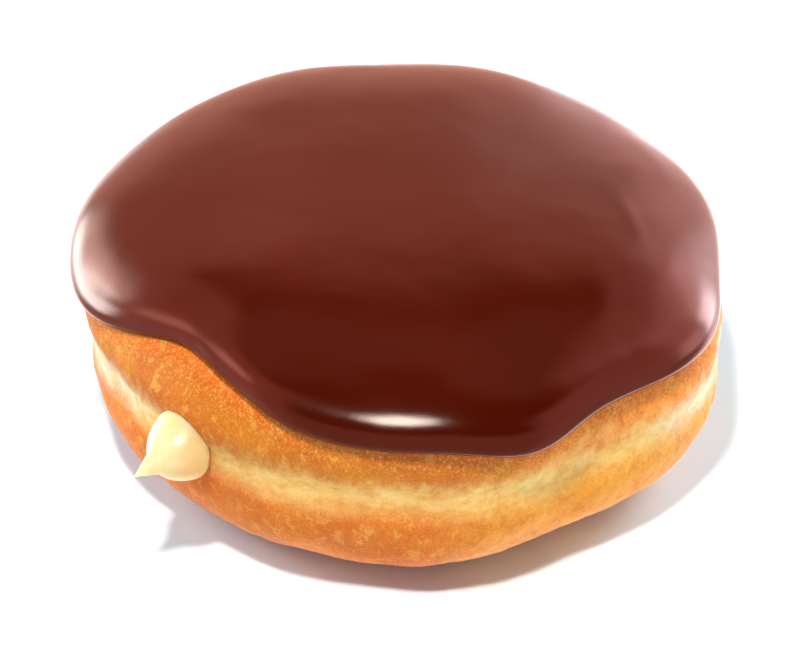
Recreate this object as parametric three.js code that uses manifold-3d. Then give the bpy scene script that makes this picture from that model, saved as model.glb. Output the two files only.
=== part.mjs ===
// A boston cream doughnut: a round yeast doughnut with no hole, fried to a golden brown with a
// pale ring round its side, filled with vanilla cream and topped with chocolate icing.
// Three solids: the fried dough with the hollow that the cream was piped into, the icing that
// lies over the top and hangs a little way down the side, and the cream, which fills the hollow,
// runs out through the piping hole and ends outside in a blob with a pulled tip.
//
// Millimetres, +Z up, the front towards -Y. Angles are in degrees about +Z, from +X, so the
// front is at 270. The group's origin is the middle of the bounding box, on the floor.
import * as THREE from 'three';
import { mergeVertices } from 'three/addons/utils/BufferGeometryUtils.js';
import Module from 'manifold-3d';

// ---- Driving dimensions ----
const DOUGH_RADIUS = 44.7;      // mean plan radius at the widest level
const DOUGH_HEIGHT = 37.4;      // floor to the top of the dough, under the icing
const WIDEST_LEVEL = 21.1;      // height of the widest part of the dough
const BASE_SHARE = 0.74;        // radius of the flat base, as a share of the widest radius
const SIDE_SQUARENESS = 3.15;   // superellipse power of the half below the widest level
const TOP_SQUARENESS = 2.52;    // and of the half above it
const TOP_LEAN = 1.9;           // how far the upper half has slumped to the left
const LEAN_FROM = 18;           // the levels between which the slump grows to its full size
const LEAN_TO = 32;
const TOP_CALM = 0.5;           // share by which the lobes below fade towards the top

// Out-of-round of the hand-cut dough: the number of lobes, their size, and the angle of a crest.
const PLAN_WAVES = [
  { lobes: 3, size: 0.45, crest: 101 },
  { lobes: 4, size: 0.4, crest: 87.5 },
  { lobes: 5, size: 0.33, crest: 48.5 },
  { lobes: 7, size: 0.54, crest: 17 },
  { lobes: 8, size: 0.42, crest: 18 },
];

// The pale ring, which floats above the frying oil and stays a little narrower than the crust.
const RING_LEVEL = 18.2;        // height of the ring's middle, on average
const RING_TILT = 1.4;          // how much lower it runs on one side than on average
const RING_LOW_AT = 10;         // the angle where it is lowest
const RING_HALF_HEIGHT = 3.2;
const RING_DEPTH = 0.75;

// Uneven swelling of the side: how many swells go round it, their size, how far they turn for
// each millimetre up, and where they start. They fade in above the flat base.
const SWELLS = [
  { lobes: 7, size: 0.22, slant: 0.16, start: 0 },
  { lobes: 11, size: 0.16, slant: -0.25, start: 1 },
];
const SWELL_FROM = 0.5;
const SWELL_TO = 7;

// Chocolate icing.
const ICING_GAP = 0.3;          // clearance between two solids that touch
const ICING_TOP = 2;            // thickness on top
const ICING_RIM = 3.2;          // thickness at the rim, on average
const ICING_SPAN = 0.2;         // extra thickness at the sides, missing at the front and back
const ICING_EDGE = 26.45;       // usual height of the rim above the floor
const BEAD_WIDTH = 5;           // how far back the round rim reaches
const BEAD_SQUARENESS = 2.4;    // superellipse power of the round rim
const ICING_SPREAD = 30;        // how far back from the rim the icing has thinned to the top's

// The rim is thin where the icing was scraped up and thick where it ran down.
const LOBE_REACH = 7;           // how far back from the rim that is felt
const RIM_LOBES = [
  { angle: 202, width: 12, size: -0.8 },
  { angle: 223, width: 11, size: -0.5 },
  { angle: 292, width: 14, size: 0.4 },
];

// Ripples behind the rim, where the icing set while it ran.
const RIPPLE = { angle: 0, width: 40, back: 8, reach: 6, count: 9, slant: 0.35, size: 0.22 };

// Where the rim runs lower (tongues) or higher (scoops) than usual.
const EDGE_LOBES = [
  { angle: 60, width: 14, drop: 1.6 },
  { angle: 98, width: 10, drop: -1.2 },
  { angle: 142, width: 13, drop: 2.2 },
  { angle: 191, width: 12, drop: 0.8 },
  { angle: 226, width: 20, drop: -4.7 },
  { angle: 242, width: 8, drop: -0.6 },
  { angle: 292.5, width: 11, drop: 2.1 },
  { angle: 330, width: 24, drop: 0.8 },
];

// Cream: a hollow in the middle, the piping hole and the blob outside.
const CREAM_ANGLE = 227.7;
const CREAM_LEVEL = 19.2;
const CREAM_GAP = 0.3;
const POCKET = { long: 24, wide: 21, tall: 8 };         // half sizes of the hollow
const HOLE_RADIUS = 3.3;
const NECK = { start: 0.5, depth: 2, flare: 1.2 };      // it widens from inside the crust to outside
const BLOB = { wide: 4.4, tall: 4.8, reach: 9.75, droop: 0.3, sag: 1.6 };
const BULB_SHARE = 0.6;         // the bulb's share of the blob's reach
const TIP_TAPER = 0.92;         // steepness of the cone that carries on to the tip

// ---- Facets ----
const AROUND = 96;              // steps round the doughnut
const SIDE_ROWS = 17;
const SIDE_TOP = 30;            // the level where the side's rows end and the dome's begin
const DOME_ROWS = 11;
const DOME_SPREAD = 1.6;        // power that sets the dome's rows closer together at its shoulder
const ICING_ROWS = 12;
const UNDER_ROWS = 10;
const CREAM_AROUND = 24;
const POCKET_ROWS = 14;
const NECK_ROWS = 4;
const BLOB_ROWS = 13;
const WELD = 1e-4;              // corners closer than this are one

const radians = THREE.MathUtils.degToRad;
const bell = (x) => Math.exp(-x * x);

// Signed difference between two angles, within half a turn.
function turnBetween(angle, from) {
  return ((angle - from + 540) % 360) - 180;
}

// How close an angle is to that of a lobe: 1 at its middle, falling off over its width.
const nearness = (angle, lobe) => bell(turnBetween(angle, lobe.angle) / lobe.width);

// ---- The dough's outer form ----

// How far a level is into the upper half: 0 below the slump, 1 above it.
const riseToTop = (z) => THREE.MathUtils.smoothstep(z, LEAN_FROM, LEAN_TO);

function planRadius(angle, z) {
  const calm = 1 - TOP_CALM * riseToTop(z);
  return PLAN_WAVES.reduce(
    (radius, { lobes, size, crest }) => (
      radius + calm * size * Math.cos(lobes * radians(angle - crest))
    ),
    DOUGH_RADIUS,
  );
}

// The depth below the widest level at which the lower superellipse would close. The floor cuts
// it where its radius has fallen to the base's.
const LOWER_DEPTH =
  WIDEST_LEVEL / (1 - BASE_SHARE ** SIDE_SQUARENESS) ** (1 / SIDE_SQUARENESS);

// A point of the upright profile: 0 to 1 up the side from the floor to the widest level, and
// 1 to 2 over the top to the middle. Gives the share of the plan radius, and the height.
function profilePoint(t) {
  if (t <= 1) {
    const steepest = Math.asin((WIDEST_LEVEL / LOWER_DEPTH) ** (SIDE_SQUARENESS / 2));
    const turn = (1 - t) * steepest;
    return {
      share: Math.cos(turn) ** (2 / SIDE_SQUARENESS),
      z: WIDEST_LEVEL - LOWER_DEPTH * Math.sin(turn) ** (2 / SIDE_SQUARENESS),
    };
  }
  const turn = ((t - 1) * Math.PI) / 2;
  const rise = DOUGH_HEIGHT - WIDEST_LEVEL;
  return {
    share: Math.max(0, Math.cos(turn)) ** (2 / TOP_SQUARENESS),
    z: WIDEST_LEVEL + rise * Math.sin(turn) ** (2 / TOP_SQUARENESS),
  };
}

// The profile as a fine line with its length, so that it can be walked in even steps.
const PROFILE = (() => {
  const steps = 400;
  const points = [];
  let length = 0;
  for (let i = 0; i <= steps; i += 1) {
    const p = profilePoint((2 * i) / steps);
    const x = p.share * DOUGH_RADIUS;
    if (i > 0) length += Math.hypot(x - points[i - 1].x, p.z - points[i - 1].z);
    points.push({ ...p, x, length });
  }
  return points;
})();
const PROFILE_LENGTH = PROFILE.at(-1).length;

// The place on the profile at a distance from the floor, with the outward normal there.
function walk(distance) {
  const target = THREE.MathUtils.clamp(distance, 0, PROFILE_LENGTH);
  let i = PROFILE.findIndex((p) => p.length >= target);
  i = Math.max(1, i);
  const [a, b] = [PROFILE[i - 1], PROFILE[i]];
  const f = (target - a.length) / (b.length - a.length);
  const run = Math.hypot(b.x - a.x, b.z - a.z);
  return {
    share: a.share + f * (b.share - a.share),
    z: a.z + f * (b.z - a.z),
    out: (b.z - a.z) / run,
    up: (a.x - b.x) / run,
  };
}

// The distance along the profile at which it reaches a height.
function distanceAt(z) {
  const i = PROFILE.findIndex((p) => p.z >= z);
  const [a, b] = [PROFILE[i - 1], PROFILE[i]];
  return a.length + ((z - a.z) / (b.z - a.z)) * (b.length - a.length);
}

// Relief of the side: the narrow ring, and uneven swelling above and below it.
function sideRelief(angle, z) {
  const a = radians(angle);
  const ringLevel = RING_LEVEL - RING_TILT * Math.cos(radians(angle - RING_LOW_AT));
  const ring = RING_DEPTH * bell((z - ringLevel) / RING_HALF_HEIGHT);
  const swelling = SWELLS.reduce(
    (sum, { lobes, size, slant, start }) => sum + size * Math.sin(lobes * a + slant * z + start),
    0,
  );
  return THREE.MathUtils.smoothstep(z, SWELL_FROM, SWELL_TO) * (swelling - ring);
}

// A point of the dough's surface, pushed out along its normal by a distance.
function doughPoint(angle, distance, push = 0) {
  const p = walk(distance);
  const a = radians(angle);
  const radius = p.share * (planRadius(angle, p.z) + sideRelief(angle, p.z)) + push * p.out;
  const lean = TOP_LEAN * riseToTop(p.z);
  return new THREE.Vector3(radius * Math.cos(a) - lean, radius * Math.sin(a), p.z + push * p.up);
}

// ---- Closed meshes from rings ----

// Skins a row of rings, each a list of points round the same axis and in the same sense, with a
// single point at each end. The rings run so that the skin faces out.
function skinRings(first, rings, last) {
  const around = rings[0].length;
  const points = [first, ...rings.flat(), last];
  const at = (row, k) => 1 + row * around + (k % around);
  const index = [];
  for (let k = 0; k < around; k += 1) {
    index.push(0, at(0, k + 1), at(0, k));
    for (let row = 0; row < rings.length - 1; row += 1) {
      const [a, b, c, d] = [at(row, k), at(row, k + 1), at(row + 1, k + 1), at(row + 1, k)];
      index.push(a, b, c, a, c, d);
    }
    index.push(at(rings.length - 1, k), at(rings.length - 1, k + 1), points.length - 1);
  }
  const geometry = new THREE.BufferGeometry().setFromPoints(points);
  return geometry.setIndex(index);
}

const ANGLES = Array.from({ length: AROUND }, (_, k) => (360 * k) / AROUND);

// ---- Dough ----

function doughGeometry() {
  const sideLength = distanceAt(SIDE_TOP);
  const distances = [];
  for (let i = 0; i < SIDE_ROWS; i += 1) distances.push((sideLength * i) / SIDE_ROWS);
  for (let i = 0; i < DOME_ROWS; i += 1) {
    const f = (i / DOME_ROWS) ** DOME_SPREAD;
    distances.push(THREE.MathUtils.lerp(sideLength, PROFILE_LENGTH, f));
  }
  const rings = distances.map((distance) => ANGLES.map((angle) => doughPoint(angle, distance)));
  return skinRings(new THREE.Vector3(0, 0, 0), rings, new THREE.Vector3(-TOP_LEAN, 0, DOUGH_HEIGHT));
}

// ---- Icing ----

function edgeLevel(angle) {
  return EDGE_LOBES.reduce((level, lobe) => level - lobe.drop * nearness(angle, lobe), ICING_EDGE);
}

// Thickness at a distance back from the rim: a round bead, then thinner towards the middle.
function icingThickness(angle, back) {
  const a = radians(angle);
  const rim = ICING_RIM + ICING_SPAN * Math.cos(2 * a);
  const lobes = RIM_LOBES.reduce((sum, lobe) => sum + lobe.size * nearness(angle, lobe), 0);
  const short = 1 - Math.min(back / BEAD_WIDTH, 1);
  const bead = (1 - short ** BEAD_SQUARENESS) ** (1 / BEAD_SQUARENESS);
  const spread = THREE.MathUtils.smoothstep(back, BEAD_WIDTH, ICING_SPREAD);
  const rippled = nearness(angle, RIPPLE) * bell((back - RIPPLE.back) / RIPPLE.reach);
  const ripple = RIPPLE.size * rippled * Math.sin(RIPPLE.count * a + RIPPLE.slant * back);
  return bead * (THREE.MathUtils.lerp(rim, ICING_TOP, spread) + lobes * bell(back / LOBE_REACH) + ripple);
}

// Rows over the bead, as shares of its width, closer together where it is rounder.
const BEAD_STEPS = [0.02, 0.12, 0.36, 0.68, 1];

function icingGeometry() {
  const lengths = ANGLES.map((angle) => PROFILE_LENGTH - distanceAt(edgeLevel(angle)));
  const ring = (backAt, thicknessAt) => ANGLES.map((angle, k) => {
    const back = backAt(lengths[k]);
    const distance = PROFILE_LENGTH - lengths[k] + back;
    return doughPoint(angle, distance, ICING_GAP + thicknessAt(angle, back));
  });
  const bare = () => 0;
  const rings = [];
  for (let i = UNDER_ROWS - 1; i >= 0; i -= 1) {
    rings.push(ring((length) => length * (i / UNDER_ROWS) ** DOME_SPREAD, bare));
  }
  for (const step of BEAD_STEPS) {
    rings.push(ring(() => step * BEAD_WIDTH, icingThickness));
  }
  for (let i = 1; i < ICING_ROWS; i += 1) {
    rings.push(ring((length) => (
      THREE.MathUtils.lerp(BEAD_WIDTH, length, i / ICING_ROWS)
    ), icingThickness));
  }
  const under = new THREE.Vector3(-TOP_LEAN, 0, DOUGH_HEIGHT + ICING_GAP);
  const top = under.clone().setZ(under.z + ICING_TOP);
  return skinRings(under, rings, top);
}

// ---- Cream ----

// How far from the middle the piping line comes out of the crust.
const CRUST_AT = planRadius(CREAM_ANGLE, CREAM_LEVEL) - RING_DEPTH;

// Half width and half height of the cream at a distance from the middle, along the piping line:
// an egg in the hollow, a round neck through the crust, and a bulb that ends in a cone.
function creamSection(along) {
  const pocket = Math.sqrt(Math.max(0, 1 - (along / POCKET.long) ** 2));
  const past = along - CRUST_AT;
  const f = THREE.MathUtils.clamp(past / BLOB.reach, 0, 1);
  const bulb = Math.sqrt(Math.max(0, 1 - (f / BULB_SHARE) ** 2));
  const cone = TIP_TAPER * (1 - f);
  const shape = Math.hypot(bulb ** 2, cone ** 2) ** 0.5;
  const swell = THREE.MathUtils.smoothstep(past, -NECK.depth, NECK.flare);
  const halfSize = (inHollow, outside) => (
    Math.max(inHollow * pocket, THREE.MathUtils.lerp(HOLE_RADIUS, outside * shape, swell))
  );
  return {
    wide: halfSize(POCKET.wide, BLOB.wide),
    tall: halfSize(POCKET.tall, BLOB.tall),
  };
}

function creamGeometry(gap) {
  const a = radians(CREAM_ANGLE);
  const outward = new THREE.Vector3(Math.cos(a), Math.sin(a), 0);
  const sideways = new THREE.Vector3(-Math.sin(a), Math.cos(a), 0);
  const centreAt = (along) => {
    const past = Math.max(0, along - CRUST_AT) / BLOB.reach;
    const level = CREAM_LEVEL - BLOB.droop * past ** BLOB.sag;
    return outward.clone().multiplyScalar(along).add(new THREE.Vector3(0, 0, level));
  };
  const stations = [];
  for (let i = 1; i < POCKET_ROWS; i += 1) {
    stations.push(-POCKET.long * Math.cos((Math.PI * i) / POCKET_ROWS));
  }
  const neckFrom = stations.at(-1) + NECK.start;
  const neckTo = CRUST_AT - NECK.depth;
  const tip = CRUST_AT + BLOB.reach;
  for (let i = 0; i < NECK_ROWS; i += 1) {
    stations.push(THREE.MathUtils.lerp(neckFrom, neckTo, i / NECK_ROWS));
  }
  for (let i = 0; i < BLOB_ROWS; i += 1) {
    stations.push(THREE.MathUtils.lerp(neckTo, tip, i / BLOB_ROWS));
  }
  const rings = stations.map((along) => {
    const { wide, tall } = creamSection(along);
    const centre = centreAt(along);
    return Array.from({ length: CREAM_AROUND }, (_, k) => {
      const turn = (2 * Math.PI * k) / CREAM_AROUND;
      return centre.clone()
        .addScaledVector(sideways, (wide + gap) * Math.cos(turn))
        .add(new THREE.Vector3(0, 0, (tall + gap) * Math.sin(turn)));
    });
  });
  return skinRings(centreAt(-POCKET.long - gap), rings, centreAt(tip + gap));
}

// ---- Cutting the hollow ----

const wasm = await Module();
wasm.setup();

function solidFrom(geometry) {
  const merged = mergeVertices(geometry.clone(), WELD);
  return new wasm.Manifold(new wasm.Mesh({
    numProp: 3,
    vertProperties: new Float32Array(merged.attributes.position.array),
    triVerts: new Uint32Array(merged.index.array),
  }));
}

function geometryFrom(solid) {
  const { vertProperties, triVerts } = solid.getMesh();
  return new THREE.BufferGeometry()
    .setAttribute('position', new THREE.BufferAttribute(vertProperties, 3))
    .setIndex(new THREE.BufferAttribute(triVerts, 1));
}

// ---- Assembly ----

function namedMesh(name, geometry, colour, roughness) {
  geometry.computeVertexNormals();
  const material = new THREE.MeshStandardMaterial({ color: colour, roughness, metalness: 0 });
  const mesh = new THREE.Mesh(geometry, material);
  mesh.name = name;
  return mesh;
}

const dough = solidFrom(doughGeometry()).subtract(solidFrom(creamGeometry(CREAM_GAP)));

const doughnut = new THREE.Group();
doughnut.add(
  namedMesh('fried_dough', geometryFrom(dough), '#e0913f', 0.7),
  namedMesh('chocolate_icing', icingGeometry(), '#4a1a10', 0.2),
  namedMesh('cream_filling', creamGeometry(0), '#ffe7ac', 0.35),
);
const middle = new THREE.Box3().setFromObject(doughnut).getCenter(new THREE.Vector3());
doughnut.position.set(-middle.x, -middle.y, 0);

export default doughnut;
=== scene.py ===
import math

import bpy
import numpy as np
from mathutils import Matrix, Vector, noise


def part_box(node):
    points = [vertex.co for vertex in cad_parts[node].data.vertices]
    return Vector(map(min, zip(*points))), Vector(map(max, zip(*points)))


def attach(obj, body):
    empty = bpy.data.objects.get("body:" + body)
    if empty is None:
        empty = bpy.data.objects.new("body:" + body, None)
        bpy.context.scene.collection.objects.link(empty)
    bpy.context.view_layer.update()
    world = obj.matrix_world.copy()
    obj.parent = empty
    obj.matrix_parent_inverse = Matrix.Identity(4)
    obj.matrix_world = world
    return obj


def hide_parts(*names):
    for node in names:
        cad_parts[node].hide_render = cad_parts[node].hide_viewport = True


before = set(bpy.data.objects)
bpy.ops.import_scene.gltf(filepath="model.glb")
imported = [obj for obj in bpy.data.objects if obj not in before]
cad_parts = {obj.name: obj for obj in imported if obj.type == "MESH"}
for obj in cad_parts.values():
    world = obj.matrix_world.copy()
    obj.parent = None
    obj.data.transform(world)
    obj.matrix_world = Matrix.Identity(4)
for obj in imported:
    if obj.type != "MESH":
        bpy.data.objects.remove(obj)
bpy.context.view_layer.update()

MM = 0.001

# ---- The shape, in millimetres, from the same named sizes as the solids ----

DOUGH_RADIUS = 44.7
DOUGH_HEIGHT = 37.4
WIDEST_LEVEL = 21.1
BASE_SHARE = 0.74
SIDE_SQUARENESS = 3.15
TOP_SQUARENESS = 2.52
TOP_LEAN = 1.9
LEAN_FROM = 18
LEAN_TO = 32
TOP_CALM = 0.5
PLAN_WAVES = [(3, 0.45, 101), (4, 0.4, 87.5), (5, 0.33, 48.5), (7, 0.54, 17), (8, 0.42, 18)]
RING_LEVEL = 18.2
RING_TILT = 1.4
RING_LOW_AT = 10
RING_HALF_HEIGHT = 3.2
RING_DEPTH = 0.75
# Swells round the side: lobes, size, slant and start.
SWELLS = [(7, 0.22, 0.16, 0), (11, 0.16, -0.25, 1)]
SWELL_FROM = 0.5
SWELL_TO = 7
ICING_GAP = 0.3
ICING_TOP = 2
ICING_RIM = 3.2
ICING_SPAN = 0.2
ICING_EDGE = 26.45
BEAD_WIDTH = 5
BEAD_SQUARENESS = 2.4
ICING_SPREAD = 30
# Lobes of the rim's thickness: angle, width and size, and how far back from the rim they reach.
RIM_LOBES = [(202, 12, -0.8), (223, 11, -0.5), (292, 14, 0.4)]
LOBE_REACH = 7
RIPPLE = {"angle": 0, "width": 40, "back": 8, "reach": 6, "count": 9, "slant": 0.35, "size": 0.22}
# Lobes of the rim's level, downward: angle, width and size.
EDGE_LOBES = [
    (60, 14, 1.6),
    (98, 10, -1.2),
    (142, 13, 2.2),
    (191, 12, 0.8),
    (226, 20, -4.7),
    (242, 8, -0.6),
    (292.5, 11, 2.1),
    (330, 24, 0.8),
]
CREAM_ANGLE = 227.7
CREAM_LEVEL = 19.2
POCKET = {"long": 24, "wide": 21, "tall": 8}
HOLE_RADIUS = 3.3
NECK = {"depth": 2, "flare": 1.2}
BLOB = {"wide": 4.4, "tall": 4.8, "reach": 9.75, "droop": 0.3, "sag": 1.6}
BULB_SHARE = 0.6
TIP_TAPER = 0.92


def bell(x):
    return np.exp(-x * x)


def smoothstep(x, low, high):
    f = np.clip((x - low) / (high - low), 0, 1)
    return f * f * (3 - 2 * f)


def turn_between(angle, start):
    return (angle - start + 540) % 360 - 180


def sum_of_lobes(angle, lobes):
    return sum(size * bell(turn_between(angle, at) / width) for at, width, size in lobes)


def rise_to_top(z):
    return smoothstep(z, LEAN_FROM, LEAN_TO)


def plan_radius(angle, z):
    calm = 1 - TOP_CALM * rise_to_top(z)
    radius = DOUGH_RADIUS
    for lobes, size, crest in PLAN_WAVES:
        radius = radius + calm * size * np.cos(np.radians(lobes * (angle - crest)))
    return radius


def make_profile(steps=4000):
    n = SIDE_SQUARENESS
    depth = WIDEST_LEVEL / (1 - BASE_SHARE**n) ** (1 / n)
    steepest = math.asin((WIDEST_LEVEL / depth) ** (n / 2))
    turn = np.linspace(steepest, 0, steps, endpoint=False)
    share_low = np.cos(turn) ** (2 / n)
    z_low = WIDEST_LEVEL - depth * np.sin(turn) ** (2 / n)
    n = TOP_SQUARENESS
    turn = np.linspace(0, math.pi / 2, steps)
    share_top = np.clip(np.cos(turn), 0, 1) ** (2 / n)
    z_top = WIDEST_LEVEL + (DOUGH_HEIGHT - WIDEST_LEVEL) * np.sin(turn) ** (2 / n)
    share = np.r_[share_low, share_top]
    z = np.r_[z_low, z_top]
    x = share * DOUGH_RADIUS
    length = np.r_[0, np.cumsum(np.hypot(np.diff(x), np.diff(z)))]
    # Even steps along the line, so that the normals are smooth.
    even = np.linspace(0, length[-1], steps)
    share, z = np.interp(even, length, share), np.interp(even, length, z)
    dx = np.gradient(share * DOUGH_RADIUS, even)
    dz = np.gradient(z, even)
    size = np.hypot(dx, dz)
    return {"at": even, "share": share, "z": z, "out": dz / size, "up": -dx / size}


PROFILE = make_profile()
PROFILE_LENGTH = PROFILE["at"][-1]


def walk(distance, key):
    return np.interp(distance, PROFILE["at"], PROFILE[key])


def distance_at(z):
    return np.interp(z, PROFILE["z"], PROFILE["at"])


def ring_level(angle):
    return RING_LEVEL - RING_TILT * np.cos(np.radians(angle - RING_LOW_AT))


def side_relief(angle, z):
    a = np.radians(angle)
    ring = RING_DEPTH * bell((z - ring_level(angle)) / RING_HALF_HEIGHT)
    swelling = sum(size * np.sin(n * a + slant * z + start) for n, size, slant, start in SWELLS)
    return smoothstep(z, SWELL_FROM, SWELL_TO) * (swelling - ring)


def dough_points(angle, distance, push=0.0):
    """Points in millimetres for arrays of angles and distances along the profile."""
    a = np.radians(angle)
    z = walk(distance, "z")
    radius = walk(distance, "share") * (plan_radius(angle, z) + side_relief(angle, z))
    radius = radius + push * walk(distance, "out")
    lean = TOP_LEAN * rise_to_top(z)
    x = radius * np.cos(a) - lean
    y = radius * np.sin(a)
    return np.stack(np.broadcast_arrays(x, y, z + push * walk(distance, "up")), -1)


def edge_level(angle):
    return ICING_EDGE - sum_of_lobes(angle, EDGE_LOBES)


def icing_thickness(angle, back):
    a = np.radians(angle)
    rim = ICING_RIM + ICING_SPAN * np.cos(2 * a)
    lobes = sum_of_lobes(angle, RIM_LOBES) * bell(back / LOBE_REACH)
    short = 1 - np.minimum(back / BEAD_WIDTH, 1)
    bead = np.clip(1 - short**BEAD_SQUARENESS, 0, 1) ** (1 / BEAD_SQUARENESS)
    spread = smoothstep(back, BEAD_WIDTH, ICING_SPREAD)
    rippled = bell(turn_between(angle, RIPPLE["angle"]) / RIPPLE["width"])
    rippled = rippled * bell((back - RIPPLE["back"]) / RIPPLE["reach"])
    ripple = RIPPLE["size"] * rippled * np.sin(RIPPLE["count"] * a + RIPPLE["slant"] * back)
    return bead * (rim + (ICING_TOP - rim) * spread + lobes + ripple)


CRUST_AT = float(plan_radius(CREAM_ANGLE, CREAM_LEVEL)) - RING_DEPTH


def cream_section(along):
    pocket = np.sqrt(np.clip(1 - (along / POCKET["long"]) ** 2, 0, 1))
    past = along - CRUST_AT
    f = np.clip(past / BLOB["reach"], 0, 1)
    bulb = np.sqrt(np.clip(1 - (f / BULB_SHARE) ** 2, 0, 1))
    cone = TIP_TAPER * (1 - f)
    shape = np.hypot(bulb**2, cone**2) ** 0.5
    swell = smoothstep(past, -NECK["depth"], NECK["flare"])

    def half_size(in_hollow, outside):
        neck = HOLE_RADIUS + (outside * shape - HOLE_RADIUS) * swell
        return np.maximum(in_hollow * pocket, neck)

    return half_size(POCKET["wide"], BLOB["wide"]), half_size(POCKET["tall"], BLOB["tall"])


def cream_centre(along):
    a = math.radians(CREAM_ANGLE)
    past = np.clip(along - CRUST_AT, 0, None) / BLOB["reach"]
    level = CREAM_LEVEL - BLOB["droop"] * past ** BLOB["sag"]
    return np.stack([along * math.cos(a), along * math.sin(a), level], -1)


def cream_rings(around, stations, gap):
    wide, tall = cream_section(stations)
    turn = 2 * math.pi * np.arange(around) / around
    a = math.radians(CREAM_ANGLE)
    sideways = np.array([-math.sin(a), math.cos(a), 0])
    upright = np.array([0, 0, 1])
    across = ((wide + gap)[:, None] * np.cos(turn))[..., None] * sideways
    over = ((tall + gap)[:, None] * np.sin(turn))[..., None] * upright
    return cream_centre(stations)[:, None, :] + across + over


# The solids' group was moved so that its box is centred: the same move for these points.
tip_local = cream_centre(np.array([CRUST_AT + BLOB["reach"]]))[0]
cream_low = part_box("cream_filling")[0]
SHIFT = np.array([cream_low[0] / MM - tip_local[0], cream_low[1] / MM - tip_local[1], 0])

# ---- Mesh making ----


def grid_faces(rows, around, first, last):
    """Quads between rings numbered from 1, and fans to the two end points."""
    k = np.arange(around)
    k1 = (k + 1) % around
    faces = []
    for row in range(rows - 1):
        a = 1 + row * around
        faces.append(np.stack([a + k, a + k1, a + around + k1, a + around + k], 1))
    quads = np.concatenate(faces)
    bottom = np.stack([np.full(around, first), 1 + k1, 1 + k], 1)
    top_row = 1 + (rows - 1) * around
    top = np.stack([top_row + k, top_row + k1, np.full(around, last)], 1)
    return quads, np.concatenate([bottom, top])


def shade_smooth(mesh):
    mesh.polygons.foreach_set("use_smooth", np.ones(len(mesh.polygons), dtype=bool))


def mesh_from_rings(name, first, rings, last):
    rows, around = rings.shape[:2]
    points = np.concatenate([[first], rings.reshape(-1, 3), [last]]) + SHIFT
    quads, fans = grid_faces(rows, around, 0, len(points) - 1)
    mesh = bpy.data.meshes.new(name)
    mesh.from_pydata((points * MM).tolist(), [], quads.tolist() + fans.tolist())
    shade_smooth(mesh)
    mesh.update()
    obj = bpy.data.objects.new(name, mesh)
    bpy.context.scene.collection.objects.link(obj)
    return obj


def add_attribute(mesh, name, values):
    layer = mesh.attributes.new(name, "FLOAT", "POINT")
    layer.data.foreach_set("value", np.asarray(values, dtype=np.float32))


def local_points(mesh):
    """The mesh's points in the millimetres of the sizes above."""
    points = np.empty(len(mesh.vertices) * 3)
    mesh.vertices.foreach_get("co", points)
    return points.reshape(-1, 3) / MM - SHIFT


def fractal(points, size, octaves):
    """Signed noise of features of that size, in millimetres, at each point."""
    return np.array([noise.fractal(Vector(p), 1.0, 2.0, octaves) for p in (points / size)])


# ---- Dough ----

# Points round the dough, rows up its side and rows over its dome, which crowd toward the side.
DOUGH_AROUND = 512
SIDE_ROWS = 124
DOME_ROWS = 22
DOME_FROM = 30
DOME_CROWDING = 1.3
# The crust's bumps and its grain: size and height. The grain is that much lower in the ring, and
# it is taken from another part of the noise.
BUMP_SIZE = 7
BUMP_HEIGHT = 0.22
GRAIN_SIZE = 2.2
GRAIN_HEIGHT = 0.10
GRAIN_CALM = 0.05
GRAIN_CALM_BAND = 3.5
GRAIN_START = 50
# The relief fades out at the foot and under the icing, and is sunk a little to stay inside.
FOOT_FROM = 0.2
FOOT_TO = 3
UNDER_ICING_FADE = 1.5
CRUST_SINK = 0.06
# Creases that the frying left in the crust: angle, slant, lowest and highest level, width, depth.
CREASES = [
    (241.5, 0.10, 17, 29, 0.55, 0.30),
    (246.0, -0.05, 21, 29, 0.5, 0.18),
    (262.0, 0.02, 11, 19, 0.5, 0.22),
    (277.5, 0.12, 3, 14, 0.6, 0.20),
    (283.0, -0.10, 20, 25, 0.5, 0.15),
    (299.0, 0.15, 6, 17, 0.55, 0.2),
    (318.0, -0.12, 5, 15, 0.6, 0.2),
    (213.0, 0.08, 18, 27, 0.5, 0.2),
    (340.0, 0.1, 9, 22, 0.6, 0.25),
    (12.0, -0.08, 8, 21, 0.6, 0.25),
    (47.0, 0.1, 12, 24, 0.55, 0.25),
    (88.0, -0.1, 5, 18, 0.6, 0.25),
    (121.0, 0.07, 13, 24, 0.5, 0.2),
    (163.0, -0.06, 8, 22, 0.6, 0.25),
]
# Their slants count this many times, and their ends fade over this many millimetres.
CREASE_SLANT = 3
CREASE_FADE = 2.5
CREASE_WANDER = {"size": 0.4, "pace": 0.9}


def crease_relief(angle, z):
    depth = 0
    for at, slant, low, high, width, size in CREASES:
        wander = CREASE_WANDER["size"] * np.sin(CREASE_WANDER["pace"] * z + at)
        across = np.radians(turn_between(angle, at)) * DOUGH_RADIUS
        off = across - slant * (z - low) * CREASE_SLANT - wander
        fade_in = smoothstep(z, low, low + CREASE_FADE)
        fade_out = 1 - smoothstep(z, high - CREASE_FADE, high)
        depth = depth + size * (fade_in * fade_out) * bell(off / width)
    return depth


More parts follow.
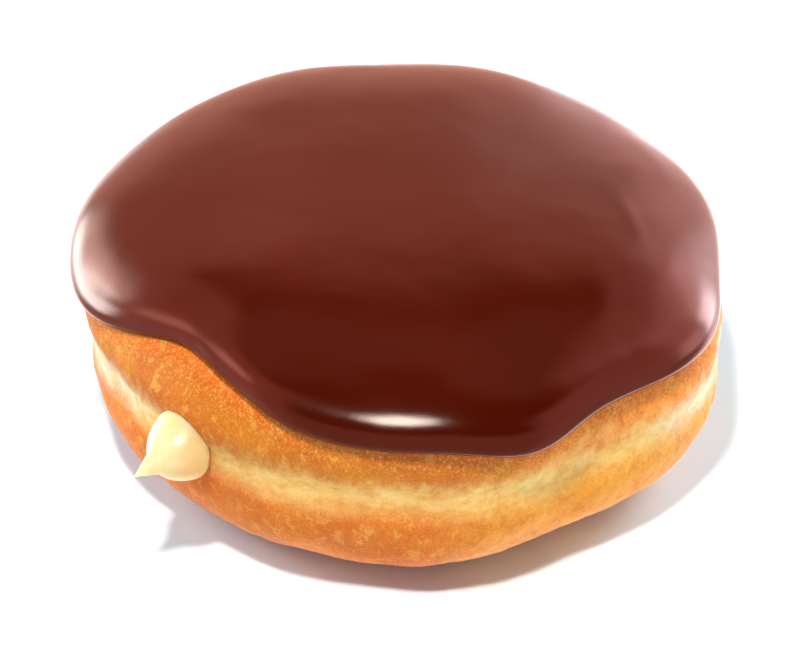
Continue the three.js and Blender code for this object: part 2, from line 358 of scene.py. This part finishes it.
def make_dough():
    side_top = distance_at(DOME_FROM)
    side = np.linspace(0, side_top, SIDE_ROWS, endpoint=False)
    over = (np.arange(DOME_ROWS) / DOME_ROWS) ** DOME_CROWDING
    dome = side_top + (PROFILE_LENGTH - side_top) * over
    distance = np.r_[side, dome][:, None]
    angle = (360 * np.arange(DOUGH_AROUND) / DOUGH_AROUND)[None, :]
    z = walk(distance, "z")
    plain = dough_points(angle, distance).reshape(-1, 3)
    bumps = fractal(plain, BUMP_SIZE, 2).reshape(-1, DOUGH_AROUND)
    grain = fractal(plain + GRAIN_START, GRAIN_SIZE, 3).reshape(-1, DOUGH_AROUND)
    calm = GRAIN_CALM * bell((z - ring_level(angle)) / GRAIN_CALM_BAND)
    relief = BUMP_HEIGHT * bumps + (GRAIN_HEIGHT - calm) * grain - crease_relief(angle, z)
    edge = edge_level(angle)
    over_foot = smoothstep(z, FOOT_FROM, FOOT_TO)
    below_icing = 1 - smoothstep(z, edge - UNDER_ICING_FADE, edge)
    push = (relief - CRUST_SINK) * (over_foot * below_icing)
    rings = dough_points(angle, distance, push)
    return mesh_from_rings("dough_crust", (0, 0, 0), rings, (-TOP_LEAN, 0, DOUGH_HEIGHT))


def cut_with(obj, cutter):
    modifier = obj.modifiers.new("hollow", "BOOLEAN")
    modifier.operation = "DIFFERENCE"
    modifier.solver = "EXACT"
    modifier.object = cutter
    bpy.context.view_layer.update()
    depsgraph = bpy.context.evaluated_depsgraph_get()
    mesh = bpy.data.meshes.new_from_object(obj.evaluated_get(depsgraph))
    obj.modifiers.clear()
    obj.data = mesh
    bpy.data.objects.remove(cutter)
    shade_smooth(mesh)


# The pale band as it is coloured: half its height, and how much wider it is round one angle,
# where it also lies a millimetre higher.
BAND_HALF = 2.7
BAND_LIFT = {"angle": 335, "width": 42, "wider": 0.4}
# The cut wall of the hollow is told by its depth under the skin, which is known at these levels.
WALL_FROM = 1.4
WALL_TO = 2.2
SKIN_LEVELS = (0.01, 37)
# The colours change from the right, which is taken to be at this angle, to the left: painted
# light, the crust painted lighter on the right where more light falls and darker on the left.
RIGHT_AT = 20


def dress_dough(obj):
    """Measures of each point of the crust that its colours are worked out from."""
    mesh = obj.data
    x, y, z = local_points(mesh).T
    x = x + TOP_LEAN * rise_to_top(z)
    angle = np.degrees(np.arctan2(y, x)) % 360
    radius = np.hypot(x, y)
    lift = bell(turn_between(angle, BAND_LIFT["angle"]) / BAND_LIFT["width"])
    half = BAND_HALF + BAND_LIFT["wider"] * lift
    skin = plan_radius(angle, z) * walk(distance_at(np.clip(z, *SKIN_LEVELS)), "share")
    add_attribute(mesh, "band", (z - ring_level(angle) - lift) / half)
    add_attribute(mesh, "under_icing", edge_level(angle) - z)
    add_attribute(mesh, "level", z)
    add_attribute(mesh, "inside", smoothstep(skin - radius, WALL_FROM, WALL_TO))
    add_attribute(mesh, "left", -np.cos(np.radians(angle - RIGHT_AT)))
    add_attribute(mesh, "side", np.abs(np.cos(np.radians(angle))))


# ---- Cream ----

# Points round the cream, and the rings of it in the hollow, in the neck and outside.
CREAM_AROUND = 96
HOLLOW_RINGS = 28
NECK_RINGS = 14
BLOB_RINGS = 70
NECK_START = 0.3
# The hollow in the dough is this much wider than the cream.
CUTTER_GAP = 0.03


def make_cream(name, gap=0.0):
    hollow = -POCKET["long"] * np.cos(np.pi * np.arange(1, HOLLOW_RINGS) / HOLLOW_RINGS)
    neck_end = CRUST_AT - NECK["depth"]
    neck = np.linspace(hollow[-1] + NECK_START, neck_end, NECK_RINGS, endpoint=False)
    tip = CRUST_AT + BLOB["reach"]
    reach = tip - CRUST_AT + NECK["depth"]
    blob = neck_end + reach * np.sin(np.linspace(0, np.pi / 2, BLOB_RINGS))
    stations = np.r_[hollow, neck, blob[:-1]]
    first = cream_centre(np.array([-POCKET["long"] - gap]))[0]
    last = cream_centre(np.array([tip + gap]))[0]
    return mesh_from_rings(name, first, cream_rings(CREAM_AROUND, stations, gap), last)


def dress_cream(obj):
    """How far each point of the cream lies to the right of the piping line."""
    x, y, _ = local_points(obj.data).T
    a = math.radians(CREAM_ANGLE)
    sideways = y * math.cos(a) - x * math.sin(a)
    add_attribute(obj.data, "lee", sideways / BLOB["wide"])


# ---- Icing ----

# Points round the icing, and its rings: underneath, where they crowd toward the rim, round the
# bead of the rim, and over the top.
ICING_AROUND = 480
UNDER_RINGS = 16
UNDER_CROWDING = 1.6
BEAD_RINGS = 18
TOP_RINGS = 90
# Low ridges where the icing ran and set: angle, distance back from the rim, reach in degrees,
# half width and height in millimetres, and how far they slant back for each degree.
RIDGES = [
    (351, 14.5, 9, 1.4, 0.11, 0.16),
    (335, 9.5, 7, 1.7, 0.10, -0.1),
    (18, 9.0, 10, 1.6, 0.09, 0.05),
    (320, 11.5, 6, 1.9, 0.10, 0.2),
    (150, 12.0, 12, 1.8, 0.08, 0.1),
    (95, 10.0, 10, 1.8, 0.08, -0.1),
]
# The smooth coat bulges past the facets of the solid, and is this much thinner to stay inside.
THINNER = 0.965
# Where the icing was scraped up it set duller: angle, width, level up to which it is, and fade.
SCRAPE = {"angle": 213, "width": 14, "level": 34, "fade": 4}


def ridge_relief(angle, back):
    relief = 0
    for at, behind, reach, width, size, slant in RIDGES:
        turn = turn_between(angle, at)
        relief = relief + size * bell(turn / reach) * bell((back - behind - slant * turn) / width)
    return relief


def make_icing():
    angle = (360 * np.arange(ICING_AROUND) / ICING_AROUND)[None, :]
    length = PROFILE_LENGTH - distance_at(edge_level(angle))
    start = PROFILE_LENGTH - length

    def ring(back, thickness):
        return dough_points(angle, start + back, ICING_GAP + thickness)

    rings = []
    for i in range(UNDER_RINGS - 1, -1, -1):
        rings.append(ring(length * (i / UNDER_RINGS) ** UNDER_CROWDING, 0))
    for i in range(1, BEAD_RINGS + 1):
        back = BEAD_WIDTH * (1 - math.cos(math.pi / 2 * i / BEAD_RINGS))
        rings.append(ring(back, THINNER * icing_thickness(angle, back)))
    for i in range(1, TOP_RINGS):
        back = BEAD_WIDTH + (length - BEAD_WIDTH) * i / TOP_RINGS
        thickness = icing_thickness(angle, back) + ridge_relief(angle, back)
        rings.append(ring(back, THINNER * thickness))
    rings = np.concatenate(rings)
    under = (-TOP_LEAN, 0, DOUGH_HEIGHT + ICING_GAP)
    top = (-TOP_LEAN, 0, DOUGH_HEIGHT + ICING_GAP + THINNER * ICING_TOP)
    obj = mesh_from_rings("icing_coat", under, rings, top)
    dull = bell(turn_between(angle, SCRAPE["angle"]) / SCRAPE["width"])
    height = rings[:, :, 2]
    dull = dull * (1 - smoothstep(height, SCRAPE["level"], SCRAPE["level"] + SCRAPE["fade"]))
    add_attribute(obj.data, "dull", np.r_[0, dull.ravel(), 0])
    return obj


# ---- Materials ----


def srgb(code):
    """Linear colour of a hex code."""
    out = []
    for i in (0, 2, 4):
        c = int(code[i:i + 2], 16) / 255
        out.append(c / 12.92 if c <= 0.04045 else ((c + 0.055) / 1.055) ** 2.4)
    return (*out, 1)


class Nodes:
    """A small writer of node trees."""

    def __init__(self, name):
        self.material = bpy.data.materials.new(name)
        self.material.use_nodes = True
        self.tree = self.material.node_tree
        self.tree.nodes.clear()
        output = self.add("ShaderNodeOutputMaterial")
        self.shader = self.add("ShaderNodeBsdfPrincipled")
        self.link(self.shader.outputs[0], output.inputs["Surface"])

    def add(self, kind, **values):
        node = self.tree.nodes.new(kind)
        for key, value in values.items():
            setattr(node, key, value)
        return node

    def link(self, source, target):
        self.tree.links.new(source, target)

    def attribute(self, name):
        return self.add("ShaderNodeAttribute", attribute_name=name).outputs["Fac"]

    def position(self):
        return self.add("ShaderNodeTexCoord").outputs["Object"]

    def scaled(self, vector, scale):
        node = self.add("ShaderNodeMapping")
        node.inputs["Scale"].default_value = scale
        self.link(vector, node.inputs["Vector"])
        return node.outputs[0]

    def noise(self, vector, scale, detail, roughness, distortion=0.0):
        node = self.add("ShaderNodeTexNoise")
        node.inputs["Scale"].default_value = scale
        node.inputs["Detail"].default_value = detail
        node.inputs["Roughness"].default_value = roughness
        node.inputs["Distortion"].default_value = distortion
        self.link(vector, node.inputs["Vector"])
        return node.outputs["Fac"]

    def voronoi(self, vector, scale):
        node = self.add("ShaderNodeTexVoronoi", feature="F1")
        node.inputs["Scale"].default_value = scale
        self.link(vector, node.inputs["Vector"])
        return node.outputs["Distance"]

    def feed(self, socket, value):
        if isinstance(value, (int, float, tuple)):
            socket.default_value = value
        else:
            self.link(value, socket)

    def math(self, operation, *values):
        node = self.add("ShaderNodeMath", operation=operation)
        for socket, value in zip(node.inputs, values):
            self.feed(socket, value)
        return node.outputs[0]

    def remap(self, value, low, high, to_low=0.0, to_high=1.0, smooth=True):
        node = self.add("ShaderNodeMapRange")
        node.interpolation_type = "SMOOTHSTEP" if smooth else "LINEAR"
        for socket, number in zip(node.inputs[1:5], (low, high, to_low, to_high)):
            socket.default_value = number
        self.link(value, node.inputs[0])
        return node.outputs[0]

    def mix(self, factor, a, b):
        # Its inputs 6 and 7 and its output 2 are the ones for colours.
        node = self.add("ShaderNodeMix", data_type="RGBA")
        for number, value in ((0, factor), (6, a), (7, b)):
            self.feed(node.inputs[number], value)
        return node.outputs[2]

    def tone(self, value, low, high, first, second):
        """The first colour up to the low value and the second from the high value on."""
        return self.mix(self.remap(value, low, high), srgb(first), srgb(second))

    def bump(self, height, strength, distance):
        node = self.add("ShaderNodeBump")
        node.inputs["Strength"].default_value = strength
        node.inputs["Distance"].default_value = distance
        self.link(height, node.inputs["Height"])
        return node.outputs[0]

    def set(self, **values):
        for key, value in values.items():
            self.feed(self.shader.inputs[key.replace("_", " ")], value)


def dough_material():
    n = Nodes("fried_crust")
    place = n.position()
    band = n.attribute("band")
    under = n.attribute("under_icing")
    level = n.attribute("level")
    left = n.attribute("left")
    side = n.attribute("side")

    patch = n.noise(place, 60, 3, 0.5)
    drift = n.noise(n.scaled(place, (1, 1, 2.2)), 110, 4, 0.6)
    crowd = n.noise(place, 190, 3, 0.55)
    ragged = n.noise(n.scaled(place, (1, 1, 1.6)), 420, 4, 0.65)
    flake = n.noise(place, 3000, 3, 0.7, distortion=0.4)
    mottle = n.noise(n.scaled(place, (1, 1, 0.7)), 620, 4, 0.68, distortion=0.45)
    speck = n.voronoi(place, 1500)

    # The pale ring's soft, uneven edges.
    slow_wobble = n.math("MULTIPLY", n.math("SUBTRACT", drift, 0.5), 1.7)
    quick_wobble = n.math("MULTIPLY", n.math("SUBTRACT", mottle, 0.5), 1.1)
    away = n.math("ABSOLUTE", n.math("ADD", band, n.math("ADD", slow_wobble, quick_wobble)))
    pale = n.remap(away, 0.0, 1.7, 1, 0)
    pale = n.math("MULTIPLY", pale, n.remap(crowd, 0.3, 0.6, 0.72, 1))

    # Painted light and shade: the crust is painted lighter on the right and darker on the left,
    # for how the light falls.
    upper_left = n.tone(patch, 0.35, 0.68, "DA7B12", "C66006")
    upper_right = n.tone(patch, 0.35, 0.68, "FC9032", "F07A20")
    upper = n.mix(n.remap(left, 0.2, -0.4), upper_left, upper_right)
    # Painted shade: the crust just under the icing rim is painted a deeper, darker orange.
    upper = n.mix(n.remap(under, 0.0, 2.8, 0.62, 0), upper, srgb("F2640C"))
    # Painted light here too: the crust below the ring is painted lighter on the right.
    lower_left = n.tone(patch, 0.35, 0.65, "E87C1A", "D65E0C")
    lower_right = n.tone(patch, 0.35, 0.65, "F9A534", "EC8B22")
    lower = n.mix(n.remap(left, 0.42, 0.05), lower_left, lower_right)
    crust = n.mix(n.remap(band, -0.4, 0.4), lower, upper)
    pale_front = n.tone(ragged, 0.35, 0.7, "F4C275", "E8A44C")
    # Painted light: the pale ring is painted whiter at the left and right ends, where the side
    # lights fall.
    pale_side_lit = n.tone(ragged, 0.35, 0.7, "FDEFD0", "F6D79A")
    pale_colour = n.mix(n.remap(side, 0.7, 0.97), pale_front, pale_side_lit)
    colour = n.mix(pale, crust, pale_colour)

    # Lighter and darker blotches.
    bare = n.remap(pale, 0.2, 0.9, 1, 0.4)
    deep = n.math("MULTIPLY", n.remap(mottle, 0.50, 0.64, 0, 0.4), bare)
    colour = n.mix(deep, colour, srgb("CC5E0E"))
    bright = n.math("MULTIPLY", n.remap(mottle, 0.47, 0.35, 0, 0.45), bare)
    colour = n.mix(bright, colour, srgb("F5AA4C"))

    # Golden and dark flakes, which crowd together near the icing and round the foot. The golden
    # ones are partly the crust's own flecks and partly painted glints of light on tiny blisters.
    by_icing = n.remap(under, 0.6, 4.5, 1, 0)
    by_foot = n.math("MULTIPLY", n.remap(level, 5, 12, 1, 0), n.remap(crowd, 0.4, 0.56))
    flaky = n.math("MAXIMUM", by_icing, by_foot)
    light = n.math("MULTIPLY", n.remap(flake, 0.53, 0.64), n.remap(flaky, 0, 1, 0.2, 0.5))
    colour = n.mix(n.math("MULTIPLY", light, bare), colour, srgb("F8BE62"))
    dark = n.math("MULTIPLY", n.remap(flake, 0.48, 0.38), n.remap(flaky, 0, 1, 0.22, 0.5))
    colour = n.mix(n.math("MULTIPLY", dark, bare), colour, srgb("B4500E"))
    pits = n.math("MULTIPLY", n.remap(speck, 0.16, 0.05), n.remap(ragged, 0.54, 0.66, 0, 0.45))
    colour = n.mix(pits, colour, srgb("8A3A12"))
    colour = n.mix(n.attribute("inside"), colour, srgb("F2DCA4"))

    grit = n.math("MULTIPLY", flake, n.remap(flaky, 0, 1, 0.25, 1))
    relief = n.math("ADD", grit, n.math("MULTIPLY", mottle, 0.8))
    n.set(
        Base_Color=colour,
        Roughness=n.remap(flake, 0.3, 0.7, 0.42, 0.6, smooth=False),
        Normal=n.bump(relief, 0.75, 0.0004),
        Subsurface_Weight=0.12,
        Subsurface_Radius=(1.0, 0.45, 0.2),
        Subsurface_Scale=0.002,
        Specular_IOR_Level=0.2,
    )
    return n.material


def icing_material():
    n = Nodes("chocolate_gloss")
    place = n.position()
    cloud = n.noise(place, 45, 3, 0.5)
    fine = n.noise(place, 5200, 2, 0.6)
    slow = n.noise(place, 70, 2, 0.4)
    colour = n.tone(cloud, 0.35, 0.7, "440A01", "4A0D02")
    height = n.math("ADD", slow, n.math("MULTIPLY", fine, 0.045))
    gloss = n.remap(cloud, 0.3, 0.7, 0.12, 0.16, smooth=False)
    scraped = n.math("MULTIPLY", n.attribute("dull"), 0.08)
    n.set(
        Base_Color=colour,
        Roughness=n.math("ADD", gloss, scraped),
        Normal=n.bump(height, 0.5, 0.0006),
        Specular_IOR_Level=1.0,
        Specular_Tint=(1.0, 0.45, 0.36, 1),
    )
    return n.material


def cream_material():
    n = Nodes("vanilla_cream")
    place = n.position()
    cloud = n.noise(place, 260, 3, 0.5)
    colour = n.tone(cloud, 0.35, 0.7, "F2D49E", "ECC68A")
    # Painted bounce light: the side that faces the crust is tinted orange, as if lit by the
    # crust's glow.
    colour = n.mix(n.remap(n.attribute("lee"), 0.3, 1.0, 0, 0.6), colour, srgb("EBA95C"))
    n.set(
        Base_Color=colour,
        Roughness=n.remap(cloud, 0.3, 0.7, 0.28, 0.36, smooth=False),
        Normal=n.bump(cloud, 0.2, 0.0004),
        Subsurface_Weight=0.75,
        Subsurface_Radius=(1.0, 0.7, 0.35),
        Subsurface_Scale=0.004,
        Specular_IOR_Level=0.5,
    )
    return n.material


def floor_material():
    n = Nodes("pale_floor")
    place = n.position()
    cloud = n.noise(place, 6, 2, 0.5)
    colour = n.mix(cloud, (0.93, 0.93, 0.93, 1), (0.95, 0.95, 0.95, 1))
    n.set(Base_Color=colour, Roughness=0.9, Specular_IOR_Level=0.0)
    return n.material


# ---- Pieces ----

dough = make_dough()
cut_with(dough, make_cream("cutter", CUTTER_GAP))
dress_dough(dough)
dough.data.materials.append(dough_material())
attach(dough, "root")
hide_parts("fried_dough")

icing = make_icing()
icing.data.materials.append(icing_material())
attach(icing, "root")
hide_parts("chocolate_icing")

cream = make_cream("cream_blob")
dress_cream(cream)
cream.data.materials.append(cream_material())
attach(cream, "root")
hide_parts("cream_filling")

# ---- Floor, light and camera ----


# The floor reaches this far each way, in metres, in a grid of this many points each way.
FLOOR_REACH = 4.0
FLOOR_POINTS = 9


def make_floor():
    line = np.linspace(-FLOOR_REACH, FLOOR_REACH, FLOOR_POINTS)
    points = [(x, y, 0.0) for y in line for x in line]
    faces = []
    for j in range(FLOOR_POINTS - 1):
        for i in range(FLOOR_POINTS - 1):
            a = j * FLOOR_POINTS + i
            faces.append((a, a + 1, a + FLOOR_POINTS + 1, a + FLOOR_POINTS))
    mesh = bpy.data.meshes.new("floor")
    mesh.from_pydata(points, [], faces)
    obj = bpy.data.objects.new("floor", mesh)
    bpy.context.scene.collection.objects.link(obj)
    obj.data.materials.append(floor_material())
    obj.visible_glossy = False


make_floor()


def aim(obj, target):
    direction = Vector(target) - obj.location
    obj.rotation_euler = direction.to_track_quat("-Z", "Y").to_euler()


# The key hangs high, in front and to the left, and draws the edge of the shadow. The fills light
# the side of the dough from low in front and from the right, and the washes come from behind on
# both sides. The spark is what glints in the front of the icing. Each has its place and size in
# metres, its power in watts and its colour.
AIM = (0, 0, 0.02)
LIGHTS = {
    "key": ((-0.07, -0.225, 0.585), (0.06, 0.06), 3.6, (1, 1, 1)),
    "fill": ((0.14, -0.62, 0.09), (0.7, 0.12), 0.68, (0.45, 0.76, 1)),
    "fill_right": ((0.56, -0.30, 0.06), (0.3, 0.08), 0.7, (1, 1, 1)),
    "wash_left": ((-0.66, 0.22, 0.35), (0.5, 0.4), 5.4, (0.69, 0.88, 1)),
    "wash_right": ((0.52, 0.44, 0.35), (0.5, 0.4), 7.2, (0.71, 0.87, 0.97)),
}
SPARK = ((-0.035, -0.37, 0.38), (0.22, 0.15), 2.4, (0.5, 0.95, 1))


def area_light(name, place, size, power, colour, shape="RECTANGLE"):
    data = bpy.data.lights.new(name, "AREA")
    data.shape = shape
    data.size, data.size_y = size
    data.energy = power
    data.color = colour
    obj = bpy.data.objects.new(name, data)
    obj.location = place
    bpy.context.scene.collection.objects.link(obj)
    aim(obj, AIM)
    return obj


for light_name, light in LIGHTS.items():
    area_light(light_name, *light).visible_glossy = False
area_light("spark", *SPARK, shape="ELLIPSE").visible_diffuse = False

# What the gloss mirrors round the table: panels of light by their bearing (0 behind, 90 at the
# right) and their height above the horizon, how wide their edges fade, in degrees, and their
# colour and brightness. The brightest one counts where they overlap.
PANELS = [
    {"bearing": (-200, 200), "height": (-110, 14), "fade": 6, "light": (0.55, 0.34, 0.28)},
    {"bearing": (-112, 112), "height": (57, 80), "fade": 8, "light": (0.22, 0.18, 0.15)},
    {"bearing": (-40, 40), "height": (-110, 22), "fade": 16, "light": (1.2, 0.62, 0.46)},
    {"bearing": (-60, 60), "height": (-110, 47), "fade": 10, "light": (0.83, 0.43, 0.32)},
    {"bearing": (-30, 10), "height": (-110, -18), "fade": 8, "light": (1.9, 1.4, 1.35)},
    {"bearing": (8, 32), "height": (-110, -12), "fade": 8, "light": (3.2, 2.7, 2.7)},
    {"bearing": (-140, -36), "height": (-110, 57), "fade": 12, "light": (0.83, 0.46, 0.36)},
    {"bearing": (-112, -85), "height": (20, 38), "fade": 8, "light": (2.9, 2.2, 1.9)},
    {"bearing": (-122, -90), "height": (-40, 24), "fade": 10, "light": (1.2, 0.75, 0.7)},
    {"bearing": (-80, -52), "height": (-17, 6), "fade": 8, "light": (8.0, 10.0, 10.0)},
    {"bearing": (-68, -54), "height": (-17, 21), "fade": 8, "light": (8.0, 9.5, 9.3)},
    {"bearing": (-60, -35), "height": (-18, 6), "fade": 14, "light": (7.5, 7.4, 7.0)},
    {"bearing": (-66, -46), "height": (-22, 28), "fade": 18, "light": (5.2, 4.8, 4.5)},
    {"bearing": (-50, -34), "height": (-22, 22), "fade": 16, "light": (3.4, 2.9, 2.6)},
    {"bearing": (-46, -14), "height": (-110, -8), "fade": 10, "light": (2.2, 1.7, 1.6)},
    {"bearing": (36, 60), "height": (-110, 50), "fade": 12, "light": (0.85, 0.54, 0.51)},
    {"bearing": (54, 102), "height": (-20, 57), "fade": 12, "light": (0.85, 0.54, 0.51)},
    {"bearing": (98, 125), "height": (-110, 34), "fade": 8, "light": (0.85, 0.50, 0.48)},
    {"bearing": (4, 40), "height": (10, 37), "fade": 8, "light": (1.1, 0.76, 0.66)},
    {"bearing": (8, 42), "height": (-110, 27), "fade": 10, "light": (1.9, 1.25, 1.15)},
    {"bearing": (22, 74), "height": (-110, 42), "fade": 16, "light": (1.7, 1.2, 1.15)},
    {"bearing": (38, 66), "height": (-110, 31), "fade": 14, "light": (3.0, 2.3, 2.35)},
    {"bearing": (60, 98), "height": (-14, 46), "fade": 14, "light": (1.5, 1.05, 1.1)},
    {"bearing": (45, 66), "height": (-14, 17), "fade": 12, "light": (7.5, 7.6, 8.2)},
    {"bearing": (70, 96), "height": (-14, 14), "fade": 10, "light": (2.6, 1.9, 1.9)},
]
# What lights everything else is the same from all sides.
AMBIENT = (0.03, 0.20, 0.29)


def make_world():
    world = bpy.data.worlds.new("studio")
    bpy.context.scene.world = world
    world.use_nodes = True
    tree = world.node_tree
    tree.nodes.clear()
    output = tree.nodes.new("ShaderNodeOutputWorld")
    background = tree.nodes.new("ShaderNodeBackground")
    place = tree.nodes.new("ShaderNodeTexCoord")
    split = tree.nodes.new("ShaderNodeSeparateXYZ")
    tree.links.new(place.outputs["Generated"], split.inputs[0])

    def calculate(kind, operation, *values):
        node = tree.nodes.new(kind)
        node.operation = operation
        for socket, value in zip(node.inputs, values):
            if isinstance(value, (int, float, tuple)):
                socket.default_value = value
            else:
                tree.links.new(value, socket)
        return node.outputs[0]

    def step(value, middle, fade):
        node = tree.nodes.new("ShaderNodeMapRange")
        node.interpolation_type = "SMOOTHSTEP"
        edges = (math.radians(middle - fade / 2), math.radians(middle + fade / 2), 0, 1)
        for socket, number in zip(node.inputs[1:5], edges):
            socket.default_value = number
        tree.links.new(value, node.inputs[0])
        return node.outputs[0]

    def window(value, span, fade):
        after_low = step(value, span[0], fade)
        after_high = step(value, span[1], fade)
        return calculate("ShaderNodeMath", "SUBTRACT", after_low, after_high)

    bearing = calculate("ShaderNodeMath", "ARCTAN2", split.outputs["X"], split.outputs["Y"])
    height = calculate("ShaderNodeMath", "ARCSINE", split.outputs["Z"])
    mirrored = (0, 0, 0)
    for panel in PANELS:
        across = window(bearing, panel["bearing"], panel["fade"])
        upright = window(height, panel["height"], panel["fade"])
        shape = calculate("ShaderNodeMath", "MULTIPLY", across, upright)
        lit = tree.nodes.new("ShaderNodeVectorMath")
        lit.operation = "SCALE"
        lit.inputs["Vector"].default_value = panel["light"]
        tree.links.new(shape, lit.inputs["Scale"])
        mirrored = calculate("ShaderNodeVectorMath", "MAXIMUM", lit.outputs[0], mirrored)
    # The inputs 4 and 5 and the output 1 of the choice are the ones for vectors.
    rays = tree.nodes.new("ShaderNodeLightPath")
    choice = tree.nodes.new("ShaderNodeMix")
    choice.data_type = "VECTOR"
    tree.links.new(rays.outputs["Is Glossy Ray"], choice.inputs[0])
    choice.inputs[4].default_value = AMBIENT
    tree.links.new(mirrored, choice.inputs[5])
    tree.links.new(choice.outputs[1], background.inputs["Color"])
    tree.links.new(background.outputs[0], output.inputs["Surface"])


make_world()

# The camera as the photo had it: its angle, its distance, the point that it is aimed at and the
# photo's scale there.
ELEVATION = math.radians(36)
DISTANCE = 450
AIM_LEFT = 1.02
AIM_LEVEL = 15.29
PIXELS_PER_MM = 7.009
PHOTO_WIDTH = 800
SENSOR_WIDTH = 36
TARGET = Vector(((SHIFT[0] - AIM_LEFT) * MM, SHIFT[1] * MM, AIM_LEVEL * MM))
camera_data = bpy.data.cameras.new("camera")
camera_data.sensor_width = SENSOR_WIDTH
camera_data.lens = PIXELS_PER_MM * DISTANCE / PHOTO_WIDTH * SENSOR_WIDTH
camera = bpy.data.objects.new("camera", camera_data)
bpy.context.scene.collection.objects.link(camera)
toward_camera = Vector((0, -math.cos(ELEVATION), math.sin(ELEVATION)))
camera.location = TARGET + DISTANCE * MM * toward_camera
aim(camera, TARGET)
bpy.context.scene.camera = camera
bpy.context.scene.view_settings.view_transform = "Standard"
